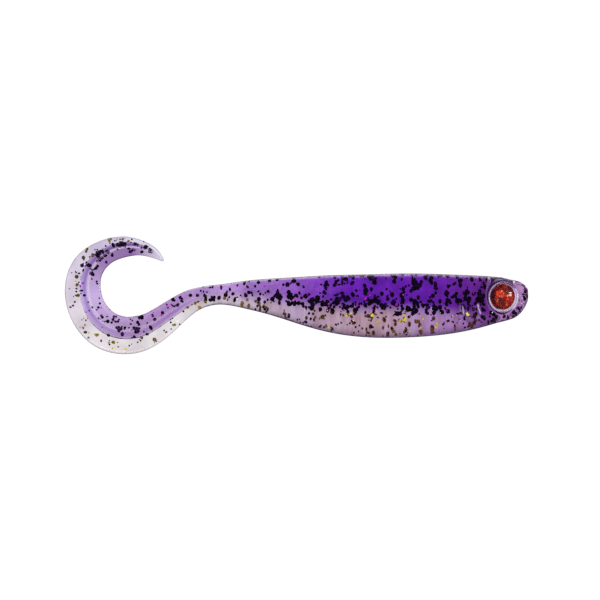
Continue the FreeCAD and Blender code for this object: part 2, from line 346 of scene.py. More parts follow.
def ring(place):
    """One closed ring of skin points at a place, in millimetres, with its values for the colours."""
    bx, bz, ex, ez, wide, share, blade = STRIP(place)[0]
    blade = min(max(blade, 0.0), 1.0)
    turn = 2 * math.pi * np.arange(RING_POINTS) / RING_POINTS
    u = (1 - np.cos(turn)) / 2
    profile = thickness_profile(u, share, blade)
    y = np.sign(np.sin(turn)) * wide * profile
    y[np.abs(np.sin(turn)) < 1e-9] = 0
    across = np.array([ex - bx, ez - bz])
    height = np.hypot(*across)
    seam = SEAM_HEIGHT * np.exp(-(y / SEAM_WIDTH) ** 2) * (np.abs(2 * u - 1) > SEAM_OUTSIDE)
    seam *= np.where(u < 0.5, -1, 1) * smooth_step(SEAM_STARTS, SEAM_IS_FULL, place) * (1 - blade)
    xz = np.array([bx, bz]) + np.outer(u + seam / height, across)
    if place < HEAD_END:
        y = y + np.sign(y) * head_marks(xz[:, 0], xz[:, 1])[0]
    points = np.column_stack([xz[:, 0], y, xz[:, 1]])
    if place < NOSE_LUMPS_END:
        rise = LUMP_HEIGHT * math.sin(math.pi * (place / NOSE_LUMPS_END))
        uneven = np.array([lumps.noise(Vector(p) * LUMPS_PER_MM) for p in points])
        points[:, 1] += np.sign(y) * rise * uneven
    flat = np.ones(RING_POINTS)
    return points, place * flat, u, share * flat, height * flat, blade * flat


def to_frame(points):
    """Millimetres on the strip to metres in the frame."""
    return np.asarray(points, float) * UNIT + np.array([NOSE_X, 0, 0])


# ---- hinges and spans ----

# How much of the room between its hinge and its cuts a bend zone takes, and the longest half zone in
# millimetres.
BEND_SHARE = 0.98
LONGEST_BEND = 9.0


def hinge_places():
    """Each joint's place along the strip, from its position in the record."""
    tries = np.linspace(0, STRIP_END, 2400)
    middle = strip_middles(tries) * UNIT + np.array([NOSE_X, 0])
    places = []
    for joint in JOINTS:
        pivot = np.array([joint["pos_m"][0], joint["pos_m"][2]])
        places.append(float(tries[np.argmin(np.hypot(*(middle - pivot).T))]))
    return places


HINGES = hinge_places()
CUTS = [0.0] + [(a + b) / 2 for a, b in zip(HINGES, HINGES[1:])] + [STRIP_END]
SPAN_NAMES = [joint["child"] for joint in JOINTS]


def blend_span(piece, number):
    """Works out the longest zone over its span's hinge that ends before both cuts, and bakes the
    piece's transform.
    """
    joint = JOINTS[number]
    here = HINGES[number]
    before, after = strip_middles([here - 0.5, here + 0.5])
    along = after - before
    along = np.array([along[0], 0, along[1]]) / np.hypot(*along)
    pivot = np.array(joint["pos_m"])
    cuts = [cut for cut in CUTS[number:number + 2] if 0 < cut < STRIP_END]
    room = min(np.abs((to_frame(ring(cut)[0]) - pivot) @ along).min() for cut in cuts)
    along *= min(room * BEND_SHARE, LONGEST_BEND * UNIT)
    start, end = tuple(pivot - along), tuple(pivot + along)
    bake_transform(piece)
    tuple(start)
    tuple(end)


def finish_span(piece, number, kinds):
    """Bakes a span's piece in place and hides the CAD nodes of its links that it stands in for."""
    blend_span(piece, number)
    links = [JOINTS[number]["child"]] + ([JOINTS[0]["parent"]] if number == 0 else [])
    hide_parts(*[kind + "_" + link for kind in kinds for link in links])


# ---- materials ----


def new_material(name, shader_kind="ShaderNodeBsdfPrincipled"):
    """A node material with one shader: the material, its tree and the shader."""
    material = bpy.data.materials.new(name)
    material.use_nodes = True
    tree = material.node_tree
    tree.nodes.clear()
    output = tree.nodes.new("ShaderNodeOutputMaterial")
    shader = tree.nodes.new(shader_kind)
    tree.links.new(shader.outputs[0], output.inputs["Surface"])
    return material, tree, shader


def node(tree, kind, **settings):
    """A node with its settings; a value for an input is given by the input's name."""
    made = tree.nodes.new(kind)
    for name, value in settings.items():
        if hasattr(made, name):
            setattr(made, name, value)
        else:
            made.inputs[name.replace("_", " ")].default_value = value
    return made


def attribute(tree, name):
    """A mesh attribute's number."""
    return node(tree, "ShaderNodeAttribute", attribute_name=name).outputs["Fac"]


def ramp(tree, source, stops):
    """A colour ramp over a number: stops are place and linear colour."""
    made = tree.nodes.new("ShaderNodeValToRGB")
    elements = made.color_ramp.elements
    while len(elements) < len(stops):
        elements.new(0.5)
    for element, (place, colour) in zip(elements, stops):
        element.position = place
        element.color = (*colour, 1)
    tree.links.new(source, made.inputs[0])
    return made.outputs[0]


def maths(tree, operation, first, second, clamp=False):
    """One Math node; either input may be a socket or a number."""
    made = node(tree, "ShaderNodeMath", operation=operation, use_clamp=clamp)
    for socket, value in zip(made.inputs, (first, second)):
        if isinstance(value, (int, float)):
            socket.default_value = value
        else:
            tree.links.new(value, socket)
    return made.outputs[0]


def mix_colour(tree, share, first, second, blend_type="MIX"):
    """Two colours mixed by a share."""
    made = node(tree, "ShaderNodeMix", data_type="RGBA", blend_type=blend_type)
    for name, value in (("Factor_Float", share), ("A_Color", first), ("B_Color", second)):
        socket = next(s for s in made.inputs if s.identifier == name)
        if isinstance(value, (int, float)):
            socket.default_value = value
        elif isinstance(value, tuple):
            socket.default_value = (*value, 1)
        else:
            tree.links.new(value, socket)
    return next(s for s in made.outputs if s.identifier == "Result_Color")


def noise(tree, per_mm, detail=3.0, roughness=0.5, stretch=None):
    """Object-space noise, by its features per millimetre; stretch scales X, Y and Z apart."""
    where = tree.nodes.new("ShaderNodeTexCoord").outputs["Object"]
    if stretch:
        spread = node(tree, "ShaderNodeVectorMath", operation="MULTIPLY")
        spread.inputs[1].default_value = stretch
        tree.links.new(where, spread.inputs[0])
        where = spread.outputs[0]
    scale = per_mm * 1000.0
    made = node(tree, "ShaderNodeTexNoise", Scale=scale, Detail=detail, Roughness=roughness)
    tree.links.new(where, made.inputs["Vector"])
    return made.outputs["Fac"]


def add_bump(tree, shader, height, distance_mm, strength=1.0):
    """Bumps a shader by a height source."""
    bump = node(tree, "ShaderNodeBump", Strength=strength, Distance=distance_mm * 0.001)
    tree.links.new(height, bump.inputs["Height"])
    tree.links.new(bump.outputs[0], shader.inputs["Normal"])


def roughen(tree, shader, per_mm, detail, smoothest, roughest):
    """Makes a surface unevenly rough; each of the two is a noise level and a roughness."""
    stops = [(level, (rough,) * 3) for level, rough in (smoothest, roughest)]
    rough = ramp(tree, noise(tree, per_mm, detail), stops)
    tree.links.new(rough, shader.inputs["Roughness"])


# How strongly the places with painted highlights scatter light, and how strongly each clear piece
# bends it.
MILKY = 0.55
PLASTIC_IOR = 1.34
RESIN_IOR = 1.5

# Tints laid over the skin's own colour, in linear colour: the rib's tint, painted shade, painted
# sheen and painted highlight.
RIB_TINT = (0.60, 0.52, 0.78)
PAINTED_SHADE_TINT = (0.38, 0.34, 0.42)
EDGE_SHEEN_COLOUR = (0.76, 0.68, 0.80)
PAINTED_HIGHLIGHT_COLOUR = (0.80, 0.72, 0.86)

# How far the skin has to turn from the view before the painted sheen on the back's edge shows, and
# where it shows fully.
SHEEN_FACING = (0.35, 0.75)

# The part of the soft change between the two pours that is kept, and how far wisps push it about.
CHANGE_KEPT = (0.15, 0.85)
WISPS = 0.35

# The foil's cells per metre, how far they are bent out of shape, and how strongly they mirror.
FOIL_CELLS = 2500.0
FOIL_WARPS = 900.0
FOIL_WARP = 0.0006
FOIL_METAL = 0.72

# Colours along the strip: place in millimetres from the nose, and the tint, in linear colour, that
# light takes on each time it passes through the skin there.
VIOLET_TINTS = [
    (0.0, (0.54, 0.34, 0.57)), (2.4, (0.48, 0.28, 0.53)), (5.0, (0.18, 0.04, 0.24)),
    (11.0, (0.112, 0.015, 0.22)), (16.0, (0.112, 0.014, 0.27)), (22.0, (0.118, 0.011, 0.35)),
    (40.0, (0.122, 0.013, 0.39)), (48.0, (0.21, 0.055, 0.46)), (56.0, (0.32, 0.14, 0.53)),
    (68.0, (0.42, 0.26, 0.58)), (80.0, (0.37, 0.22, 0.48)), (92.0, (0.4, 0.27, 0.5)),
    (104.0, (0.57, 0.43, 0.74)), (114.0, (0.32, 0.19, 0.43)), (122.0, (0.26, 0.15, 0.36)),
    (128.0, (0.62, 0.54, 0.7)),
]
CLEAR_TINTS = [
    (0.0, (0.46, 0.28, 0.5)), (5.5, (0.13, 0.025, 0.16)), (10.0, (0.22, 0.075, 0.3)),
    (14.0, (0.35, 0.18, 0.5)), (22.0, (0.41, 0.24, 0.51)), (32.0, (0.49, 0.34, 0.46)),
    (42.0, (0.48, 0.34, 0.45)), (52.0, (0.47, 0.35, 0.53)), (66.0, (0.63, 0.56, 0.63)),
    (80.0, (0.8, 0.77, 0.79)), (92.0, (0.78, 0.73, 0.75)), (104.0, (0.75, 0.68, 0.77)),
    (118.0, (0.64, 0.57, 0.76)), (128.0, (0.84, 0.82, 0.88)),
]


def tints(tree, rows):
    """A colour ramp by place along the strip."""
    stops = [(place / STRIP_END, colour) for place, colour in rows]
    return ramp(tree, attribute(tree, "along"), stops)


def soft_share(tree, source, between):
    """A number made 0 below the first bound and 1 above the second, smooth between them."""
    made = node(tree, "ShaderNodeMapRange", interpolation_type="SMOOTHSTEP")
    made.inputs["From Min"].default_value, made.inputs["From Max"].default_value = between
    tree.links.new(source, made.inputs["Value"])
    return made.outputs[0]


def more_on_body(tree, on_tail):
    """1 on the body and a smaller share on the tail."""
    return maths(tree, "ADD", maths(tree, "MULTIPLY", attribute(tree, "body"), 1 - on_tail), on_tail)


def skin_material():
    """Wet translucent soft PVC: violet on the back side, clear on the belly side."""
    material, tree, shader = new_material("soft_plastic")
    wisps = maths(tree, "SUBTRACT", noise(tree, 0.55, 4.0, 0.6), 0.5)
    amount = maths(tree, "ADD", attribute(tree, "violet"), maths(tree, "MULTIPLY", wisps, WISPS))
    in_violet = soft_share(tree, amount, CHANGE_KEPT)
    smear = ramp(tree, noise(tree, 1.0, 3.0, 0.55, (0.55, 0.3, 0.13)), [
        (0.42, (1.0, 1.0, 1.0)), (0.55, (0.86, 0.80, 0.80)), (0.68, (0.62, 0.50, 0.40))])
    clear = tints(tree, CLEAR_TINTS)
    smeared = mix_colour(tree, 1.0, clear, smear, "MULTIPLY")
    clouds = ramp(tree, noise(tree, 0.22, 2.0), [
        (0.38, (0.84, 0.82, 0.85)), (0.60, (1.0, 1.0, 1.0))])
    clouded = mix_colour(tree, 1.0, clear, clouds, "MULTIPLY")
    clear = mix_colour(tree, attribute(tree, "body"), clouded, smeared)
    patches = ramp(tree, noise(tree, 0.28, 3.0, 0.6), [
        (0.36, (0.55, 0.50, 0.60)), (0.56, (1.0, 1.0, 1.0))])
    violet = tints(tree, VIOLET_TINTS)
    patched = mix_colour(tree, 1.0, violet, patches, "MULTIPLY")
    violet = mix_colour(tree, attribute(tree, "body"), violet, patched)
    colour = mix_colour(tree, in_violet, clear, violet)
    # After the rib's tint, painted shade darkens the tail's inner and outer edges and the head's
    # sunk marks.
    for name, tint in (("rib", RIB_TINT), ("painted_shade", PAINTED_SHADE_TINT)):
        tinted = mix_colour(tree, 1.0, colour, tint, "MULTIPLY")
        colour = mix_colour(tree, attribute(tree, name), colour, tinted)
    # Painted sheen: the back's edge turns pale where the skin turns away from the view.
    facing = node(tree, "ShaderNodeLayerWeight", Blend=0.5).outputs["Facing"]
    painted_edge_sheen = maths(tree, "MULTIPLY", attribute(tree, "painted_edge_sheen"), soft_share(tree, facing, SHEEN_FACING))
    colour = mix_colour(tree, painted_edge_sheen, colour, EDGE_SHEEN_COLOUR)
    # Painted highlights: lines by the tail's rib, raised head marks, the back's parting line and the
    # ring round each eye; these places also let less light through.
    colour = mix_colour(tree, attribute(tree, "pale"), colour, PAINTED_HIGHLIGHT_COLOUR)
    tree.links.new(colour, shader.inputs["Base Color"])
    roughen(tree, shader, 1.6, 4.0, (0.35, 0.03), (0.75, 0.10))
    milky = maths(tree, "MULTIPLY", attribute(tree, "pale"), more_on_body(tree, 0.4))
    milky = maths(tree, "MULTIPLY", milky, -MILKY)
    tree.links.new(maths(tree, "ADD", milky, 1.0), shader.inputs["Transmission Weight"])
    shader.inputs["IOR"].default_value = PLASTIC_IOR
    fine = maths(tree, "MULTIPLY", noise(tree, 6.0, 2.0), 0.05)
    height = maths(tree, "ADD", noise(tree, 0.45, 3.0), fine)
    add_bump(tree, shader, maths(tree, "MULTIPLY", height, more_on_body(tree, 0.2)), 0.08, 0.5)
    return material


def cut_material():
    """Invisible walls, where two spans of the skin meet and where an eye is bonded in its socket."""
    return new_material("inner_join", "ShaderNodeBsdfTransparent")[0]


def flake_material(name, stops, metallic, rough):
    """Metallised film flakes whose colour and shine vary from flake to flake."""
    material, tree, shader = new_material(name)
    tone = attribute(tree, "tone")
    colour = ramp(tree, tone, stops)
    grain = ramp(tree, noise(tree, 9.0, 2.0), [(0.3, (0.82,) * 3), (0.7, (1.0,) * 3)])
    tree.links.new(mix_colour(tree, 1.0, colour, grain, "MULTIPLY"), shader.inputs["Base Color"])
    roughen(tree, shader, 4.0, 2.0, (0.3, rough * 0.7), (0.7, rough * 1.4))
    shader.inputs["Metallic"].default_value = metallic
    shader.inputs["Specular IOR Level"].default_value = 0.04
    return material


def foil_material():
    """Holographic eye foil: red cells that each mirror another way, with gold and orange sparks."""
    material, tree, shader = new_material("eye_foil")
    where = tree.nodes.new("ShaderNodeTexCoord").outputs["Object"]
    warp = node(tree, "ShaderNodeTexNoise", Scale=FOIL_WARPS, Detail=2.0)
    tree.links.new(where, warp.inputs["Vector"])
    bent = mix_colour(tree, FOIL_WARP, (0.0, 0.0, 0.0), warp.outputs["Color"])
    shifted = node(tree, "ShaderNodeVectorMath", operation="ADD")
    tree.links.new(where, shifted.inputs[0])
    tree.links.new(bent, shifted.inputs[1])
    cells = node(tree, "ShaderNodeTexVoronoi", Scale=FOIL_CELLS)
    tree.links.new(shifted.outputs[0], cells.inputs["Vector"])
    pick = node(tree, "ShaderNodeSeparateColor")
    tree.links.new(cells.outputs["Color"], pick.inputs[0])
    colour = ramp(tree, pick.outputs[0], [
        (0.0, (0.30, 0.003, 0.002)), (0.30, (0.46, 0.006, 0.003)), (0.58, (0.64, 0.016, 0.005)),
        (0.78, (0.88, 0.060, 0.010)), (0.90, (1.0, 0.28, 0.03)), (1.0, (1.0, 0.62, 0.16))])
    rim = ramp(tree, attribute(tree, "radius"), [
        (0.0, (1, 1, 1)), (0.60, (0.90, 0.88, 0.88)), (0.88, (0.58, 0.44, 0.44)),
        (1.0, (0.34, 0.20, 0.22))])
    glow = ramp(tree, noise(tree, 0.62, 1.0), [(0.40, (0.24, 0.08, 0.08)), (0.58, (1.0, 1.0, 1.0))])
    lit = mix_colour(tree, 1.0, colour, glow, "MULTIPLY")
    tree.links.new(mix_colour(tree, 1.0, lit, rim, "MULTIPLY"), shader.inputs["Base Color"])
    shader.inputs["Metallic"].default_value = FOIL_METAL
    rough = ramp(tree, pick.outputs[1], [(0.0, (0.14,) * 3), (1.0, (0.34,) * 3)])
    tree.links.new(rough, shader.inputs["Roughness"])
    add_bump(tree, shader, pick.outputs[2], 0.06, 0.55)
    return material


def backing_material():
    """The pale glued back of an eye, which shows through the head from the other side."""
    material, tree, shader = new_material("eye_backing")
    tone = ramp(tree, noise(tree, 1.2, 3.0), [
        (0.35, (0.52, 0.36, 0.62)), (0.65, (0.74, 0.60, 0.82))])
    tree.links.new(tone, shader.inputs["Base Color"])
    roughen(tree, shader, 3.0, 3.0, (0.35, 0.35), (0.75, 0.55))
    shader.inputs["Metallic"].default_value = 0.3
    return material


def dome_material():
    """Clear hard resin with faint clouding."""
    material, tree, shader = new_material("eye_resin")
    tint = ramp(tree, noise(tree, 0.8, 2.0), [(0.3, (0.93, 0.90, 0.92)), (0.7, (1.0, 0.99, 0.99))])
    tree.links.new(tint, shader.inputs["Base Color"])
    roughen(tree, shader, 3.0, 3.0, (0.35, 0.012), (0.75, 0.05))
    shader.inputs["Transmission Weight"].default_value = 1.0
    shader.inputs["IOR"].default_value = RESIN_IOR
    return material


# ---- mesh helpers ----


def in_scene(name, data):
    """An object in the scene for a mesh, a light or a camera."""
    made = bpy.data.objects.new(name, data)
    bpy.context.scene.collection.objects.link(made)
    return made


def new_object(name, points, faces, materials):
    """A mesh object from frame points and faces."""
    mesh = bpy.data.meshes.new(name)
    mesh.from_pydata([tuple(p) for p in points], [], faces)
    for material in materials:
        mesh.materials.append(material)
    return in_scene(name, mesh)


def set_number(mesh, name, values):
    """Stores one number per vertex."""
    stored = mesh.attributes.get(name) or mesh.attributes.new(name, "FLOAT", "POINT")
    stored.data.foreach_set("value", np.asarray(values, np.float32))


def mesh_points(mesh):
    """A mesh's points in millimetres on the strip."""
    points = np.empty(3 * len(mesh.vertices))
    mesh.vertices.foreach_get("co", points)
    return (points.reshape(-1, 3) - np.array([NOSE_X, 0, 0])) / UNIT


def joined_rings(count, points):
    """Quads between consecutive rings of the same number of points."""
    faces = []
    for low in range(0, (count - 1) * points, points):
        for j in range(points):
            k = (j + 1) % points
            faces.append((low + j, low + k, low + points + k, low + points + j))
    return faces


def end_fans(count, points):
    """Triangles at the first and the last ring in turn, to two middle points after the rings."""
    first, last_ring = count * points, (count - 1) * points
    faces = []
    for j in range(points):
        k = (j + 1) % points
        faces.append((first, k, j))
        faces.append((first + 1, last_ring + j, last_ring + k))
    return faces


# ---- skin ----


def span_places(number):
    """Where a span's rings lie, with close pairs at the cuts."""
    start, end = CUTS[number], CUTS[number + 1]
    places = [start]
    if number > 0:
        places.append(start + CUT_MARGIN)
    while places[-1] < end - CUT_MARGIN - FINE_SPACING / 2:
        fine = places[-1] < HEAD_END or places[-1] > TAIL_START
        places.append(places[-1] + (FINE_SPACING if fine else SPACING))
    places[-1] = min(places[-1], end - CUT_MARGIN)
    return places + [end]


def nose_rings():
    """Rings that close the flat nose seat, shrinking inwards."""
    rings = []
    for scale in NOSE_SHARES:
        points, *values = ring(0.0)
        middle = points.mean(0)
        points = middle + (points - middle) * scale
        points[:, 0] = NOSE_CROWN * (1 - scale)
        rings.append((points, *values))
    return rings


def tip_rings():
    """Rings that round off the tail's tip."""
    before, last = strip_middles([STRIP_END - 0.2, STRIP_END])
    ahead = (last - before) / np.hypot(*(last - before))
    rings = []
    for angle in TIP_ANGLES:
        points, *values = ring(STRIP_END)
        centre = points.mean(0)
        points = centre + (points - centre) * math.cos(math.radians(angle))
        points += np.array([ahead[0], 0, ahead[1]]) * TIP_LENGTH * math.sin(math.radians(angle))
        rings.append((points, *values))
    return rings


def skin_rings(number):
    """Every ring of one span, with its colour values."""
    rings = [ring(place) for place in span_places(number)]
    if number == 0:
        rings = nose_rings() + rings
    if number == len(JOINTS) - 1:
        rings += tip_rings()
    return rings


def skin_piece(number, plastic, join):
    """One span of skin, closed at both ends."""
    rings = skin_rings(number)
    points = np.concatenate([r[0] for r in rings])
    values = [np.concatenate([r[i] for r in rings]) for i in range(1, 6)]
    faces = joined_rings(len(rings), RING_POINTS)
    wall_count = len(faces)
    faces += end_fans(len(rings), RING_POINTS)
    first = len(points)
    last_ring = first - RING_POINTS
    points = np.concatenate([points, [rings[0][0].mean(0), rings[-1][0].mean(0)]])
    made = new_object("skin_" + SPAN_NAMES[number], to_frame(points), faces, [plastic, join])
    mesh = made.data
    values = [np.concatenate([v, [v[0], v[-1]]]) for v in values]
    colour_skin(mesh, values)
    smooth = np.ones(len(mesh.polygons), bool)
    slots = np.zeros(len(mesh.polygons), np.int32)
    for end, is_cut in ((0, number > 0), (1, number < len(JOINTS) - 1)):
        if is_cut:
            smooth[wall_count + end::2] = False
            slots[wall_count + end::2] = 1
    mesh.polygons.foreach_set("use_smooth", smooth)
    mesh.polygons.foreach_set("material_index", slots)
    for edge in mesh.edges:
        low, high = sorted(edge.vertices)
        at_start = number > 0 and high < RING_POINTS
        at_end = number < len(JOINTS) - 1 and last_ring <= low and high < first
        edge.use_edge_sharp = at_start or at_end
    return made


def colour_skin(mesh, values):
    """Stores the values that the skin's colours are worked out from."""
    place, u, share, height, blade = values
    x, y, z = mesh_points(mesh).T
    soft = SOFT_BODY + (SOFT_TAIL - SOFT_BODY) * blade
    set_number(mesh, "violet", np.clip(0.5 - (u - share) * height / soft, 0, 1))
    set_number(mesh, "along", place / STRIP_END)
    set_number(mesh, "body", 1 - blade)
    rib_middle = share - STEP_WIDTH / 2 - RIB_WIDTH / 2
    rib = np.interp(place, RIB_PLACES, RIB_STRENGTHS) * blade
    set_number(mesh, "rib", rib * np.exp(-((u - rib_middle) / RIB_TINT_WIDTH) ** 2))
    # Painted highlights: two lines before the tail's rib, the raised head marks and the parting line
    # on the back.
    highlight_lines = rib * sum(np.exp(-((u - rib_middle + before) * height / LINE_WIDTH) ** 2)
                      for before in LINES_BEFORE_RIB)
    _, pale, painted_shade = head_marks(x, z)
    on_head = place < HEAD_END
    # Painted shade along the tail's inner and outer edges.
    inner = smooth_step(*INNER_EDGE, u * height) * blade
    outer = smooth_step(*OUTER_EDGE, (1 - u) * height) * blade
    # Painted highlight on the parting line along the back.
    back = np.exp(-(y / RIDGE_WIDTH) ** 2) * (u < 0.5) * (1 - blade)
    pale = LINE_HIGHLIGHT * highlight_lines + MARK_HIGHLIGHT * pale * on_head + RIDGE_HIGHLIGHT * back
    set_number(mesh, "pale", np.clip(pale, 0, 1))
    # Painted sheen along the back's edge, on the body only.
    set_number(mesh, "painted_edge_sheen", BACK_SHEEN * smooth_step(*BACK_SHEEN_EDGE, u * height) * (1 - blade))
    set_number(mesh, "painted_shade", np.clip(OUTER_SHADE * outer + INNER_SHADE * inner + painted_shade * on_head, 0, 1))


# ---- glitter ----

FLAKE_CORNERS = 6
FACING_STEP = 0.1
FACING_STEP_ACROSS = 0.01


class FlakeHeap:
    """Flakes of one kind gathered for one span, then made as one piece."""

    def __init__(self):
        self.points = []
        self.faces = []
        self.tones = []

    def add(self, centre, facing, radius, spin, thick, tone):
        """One thin hexagonal flake with its two faces and its edge."""
        facing = facing.normalized()
        side = facing.orthogonal().normalized()
        up = facing.cross(side)
        first = len(self.points)
        for level in (-0.5, 0.5):
            for corner in range(FLAKE_CORNERS):
                turn = spin + 2 * math.pi * corner / FLAKE_CORNERS
                out = side * math.cos(turn) + up * math.sin(turn)
                self.points.append(centre + out * radius + facing * (thick * level))
        low = [first + i for i in range(FLAKE_CORNERS)]
        high = [first + FLAKE_CORNERS + i for i in range(FLAKE_CORNERS)]
        self.faces.append(tuple(reversed(low)))
        self.faces.append(tuple(high))
        for i in range(FLAKE_CORNERS):
            k = (i + 1) % FLAKE_CORNERS
            self.faces.append((low[i], low[k], high[k], high[i]))
        self.tones += [tone] * (2 * FLAKE_CORNERS)

    def piece(self, name, material):
        """The heap as one object."""
        points = to_frame([tuple(p) for p in self.points])
        made = new_object(name, points, self.faces, [material])
        set_number(made.data, "tone", self.tones)
        return made


def flake_spot(place, u, side):
    """A point in the plastic, side being -1 to 1 across, and the half thickness and height there."""
    bx, bz, ex, ez, wide, share, blade = STRIP(place)[0]
    half = wide * float(thickness_profile(np.array([u]), share, min(max(blade, 0), 1))[0])
    spot = Vector((bx + (ex - bx) * u, half * side, bz + (ez - bz) * u))
    return spot, half, math.hypot(ex - bx, ez - bz)


def skin_facing(place, u, side):
    """The direction that the skin faces at a place."""
    before, after = (flake_spot(place + step, u, side)[0] for step in (-FACING_STEP, FACING_STEP))
    above, below = (flake_spot(place, u + step, side)[0]
                    for step in (-FACING_STEP_ACROSS, FACING_STEP_ACROSS))
    facing = (after - before).cross(below - above).normalized()
    return facing if facing.y * side > 0 else -facing


# Where glitter rows start and end, in millimetres from the nose.
BODY_END = 62.0
WRIST_END = 78.0

# The share of flakes that lie close to the flake before them, how close in millimetres, and what
# that is divided by across the height.
CLUMPING = 0.24
CLUMP_SPREAD = 0.55
CLUMP_ACROSS = 10

# Above 1, small flakes are more common than large ones.
SIZE_BIAS = 1.4

# Flakes on the skin, and how they lean there, in thin plastic and in thick plastic.
ON_SKIN = 1.0
FLAKE_THICK = 0.05
FLAKE_PROUD = 0.02
SKIN_FLAKE_LEAN = 0.35
TAIL_FLAKE_LEAN = 0.45
BODY_FLAKE_LEAN = 0.6
THIN_PLASTIC = 1.5

# The largest flake where there is no room, how much larger it may be with room, and how far flakes
# keep from the middle of an eye.
SMALL_FLAKE = 0.28
ROOM_SHARE = 1.2
EYE_CLEAR = 3.7

# Glitter rows: start and end along the strip, flakes per millimetre, lowest and highest share of
# the height from the back, smallest and largest radius, lowest and highest tone, and how far out
# towards the skin they lie.
BLACK = [
    (0.8, 3.0, 3.4, 0.15, 0.90, 0.20, 0.50, 0.0, 1.0, 0.80),
    (3.0, 10.0, 8.0, 0.02, 0.92, 0.20, 0.50, 0.0, 0.9, 0.55),
    (4.0, 11.5, 8.0, 0.55, 0.90, 0.20, 0.50, 0.0, 0.9, 0.50),
    (10.0, 20.0, 8.0, 0.04, 0.66, 0.24, 0.64, 0.0, 0.9, 0.55),
    (20.0, 46.0, 7.2, 0.04, 0.55, 0.26, 0.64, 0.0, 1.0, 0.55),
    (20.0, 56.0, 3.2, 0.38, 0.62, 0.32, 0.66, 0.0, 0.8, 0.60),
    (46.0, BODY_END, 3.0, 0.05, 0.60, 0.24, 0.58, 0.0, 0.9, 0.60),
    (12.0, BODY_END, 1.6, 0.58, 0.94, 0.16, 0.36, 0.0, 0.6, 0.60),
    (BODY_END, WRIST_END, 2.3, 0.08, 0.72, 0.22, 0.54, 0.0, 0.9, 0.80),
    (WRIST_END, 97.0, 2.4, 0.08, 0.60, 0.20, 0.58, 0.0, 1.0, 0.80),
    (97.0, 109.0, 1.1, 0.08, 0.60, 0.20, 0.38, 0.0, 0.8, 0.80),
    (109.0, 127.0, 2.9, 0.24, 0.72, 0.26, 0.62, 0.3, 1.0, 0.80),
    (WRIST_END, STRIP_END - 3, 0.9, 0.58, 0.96, 0.14, 0.26, 0.0, 0.5, 0.80),
]
VIOLET = [
    (0.6, 4.0, 3.0, 0.15, 0.85, 0.14, 0.34, 0.3, 1.0, 0.7),
    (2.0, BODY_END, 0.9, 0.20, 0.62, 0.12, 0.34, 0.0, 1.0, ON_SKIN),
    (BODY_END, 110.0, 0.35, 0.10, 0.62, 0.14, 0.36, 0.0, 1.0, ON_SKIN),
    (110.0, STRIP_END - 1, 0.45, 0.10, 0.62, 0.20, 0.42, 0.0, 0.7, 0.8),
]
GOLD = [
    (12.5, 54.0, 2.3, 0.62, 0.94, 0.18, 0.48, 0.0, 0.60, 0.60),
    (14.5, 52.0, 1.0, 0.64, 0.92, 0.22, 0.50, 0.60, 0.88, ON_SKIN),
    # This row and the next make tiny white flakes: partly real white glitter, partly painted glints.
    (14.0, 50.0, 1.0, 0.54, 0.80, 0.05, 0.14, 0.97, 1.0, ON_SKIN),
    (0.6, 10.0, 2.0, 0.20, 0.80, 0.05, 0.13, 0.97, 1.0, ON_SKIN),
    (52.0, WRIST_END, 0.9, 0.62, 0.92, 0.22, 0.46, 0.2, 0.85, 0.95),
    (WRIST_END, STRIP_END - 8, 0.95, 0.62, 0.95, 0.20, 0.54, 0.15, 0.85, 0.9),
    (88.0, 104.0, 0.5, 0.66, 0.94, 0.14, 0.30, 0.80, 1.0, ON_SKIN),
]

# Tones of the flakes, from the first to the last: place and linear colour.
BLACK_TONES = [
    (0.0, (0.002, 0.000, 0.005)), (0.55, (0.008, 0.0005, 0.018)), (0.80, (0.05, 0.002, 0.08)),
    (1.0, (0.16, 0.010, 0.22)),
]
VIOLET_TONES = [(0.0, (0.12, 0.004, 0.18)), (0.5, (0.34, 0.008, 0.42)), (1.0, (0.70, 0.03, 0.66))]
# The gold tones end in white for those tiny flakes: partly real glitter, partly painted glints.
GOLD_TONES = [
    (0.0, (0.15, 0.09, 0.05)), (0.35, (0.34, 0.25, 0.08)), (0.60, (0.50, 0.36, 0.05)),
    (0.80, (0.72, 0.64, 0.05)), (0.92, (0.85, 0.80, 0.20)), (0.97, (1.0, 1.0, 0.96)),
]

# Each kind of glitter: colour word, rows, tones, metallic share and roughness.
GLITTER = [
    ("black", BLACK, BLACK_TONES, 0.0, 0.5),
    ("violet", VIOLET, VIOLET_TONES, 0.3, 0.35),
    ("gold", GOLD, GOLD_TONES, 0.3, 0.3),
]


def scatter(rows, chance):
    """Yields place, height, side, radius and tone for every flake of a kind, many in clumps."""
    middles = [((a + b) / 2, (a + b) / 2, 1, *rows[-1][3:]) for a, b in zip(CUTS, CUTS[1:])]
    for start, end, per_mm, u_low, u_high, small, large, dim, bright, reach in rows + middles:
        place, u = start, u_low
        for _ in range(max(1, round((end - start) * per_mm))):
            if chance.random() < CLUMPING and end > start:
                place = min(max(place + chance.gauss(0, CLUMP_SPREAD), start), end)
                u = min(max(u + chance.gauss(0, CLUMP_SPREAD) / CLUMP_ACROSS, u_low), u_high)
            else:
                place = chance.uniform(start, end)
                u = chance.uniform(u_low, u_high)
            side = chance.uniform(-reach, reach)
            if reach == ON_SKIN:
                side = chance.choice((-1, 1))
            size = small + (large - small) * chance.random() ** SIZE_BIAS
            yield place, u, side, size, chance.uniform(dim, bright)


